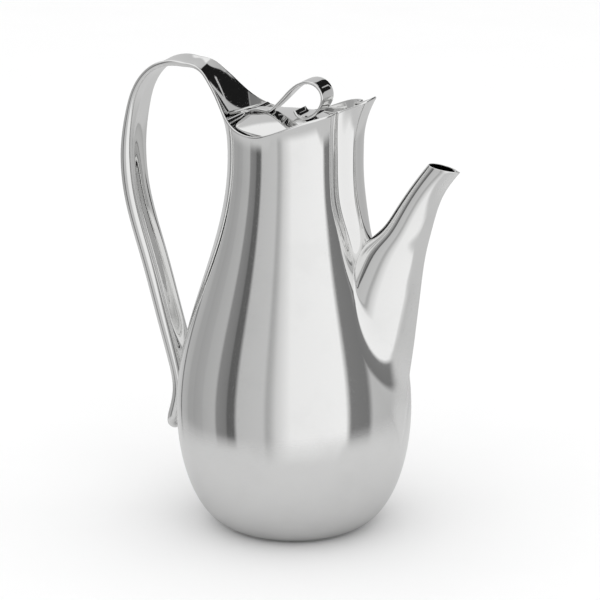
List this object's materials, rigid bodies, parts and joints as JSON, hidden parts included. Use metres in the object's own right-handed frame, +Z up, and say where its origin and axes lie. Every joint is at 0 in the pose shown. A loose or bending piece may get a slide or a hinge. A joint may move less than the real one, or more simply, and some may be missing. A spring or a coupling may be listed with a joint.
{
  "type": "coffee pot",
  "caption": "Pear-shaped polished steel coffee pot with a strap handle, long tapered spout and hinged lid with a looped ribbon finial.",
  "frame": {"origin": "on the body axis, at the plane the foot ring stands on", "axes": "+Z up along the body axis, +X towards the spout, -X towards the handle, Y across"},
  "size_m": [0.1757, 0.1152, 0.2275],
  "materials": {
    "polished_body": "mirror-polished stainless steel",
    "polished_trim": "mirror-polished stainless steel strip and lid",
    "satin_inside": "satin stainless steel, unpolished inner parts"
  },
  "bodies": {
    "pot": {"body_shell": "polished_body", "base_disc": "satin_inside", "handle_strap": "polished_body", "spout_tube": "polished_body", "lid_seat_ring": "satin_inside", "hinge_barrel_left": "polished_trim", "hinge_barrel_right": "polished_trim", "hinge_pin": "satin_inside"},
    "lid": {"lid_dome": "polished_trim", "lid_underside": "satin_inside", "ribbon_finial": "polished_trim"}
  },
  "joints": [
    {"name": "lid_hinge", "type": "hinge", "parent": "pot", "child": "lid", "pos_m": [-0.025, 0, 0.2022], "axis": [0, -1, 0], "range_deg": [0, 95]}
  ]
}
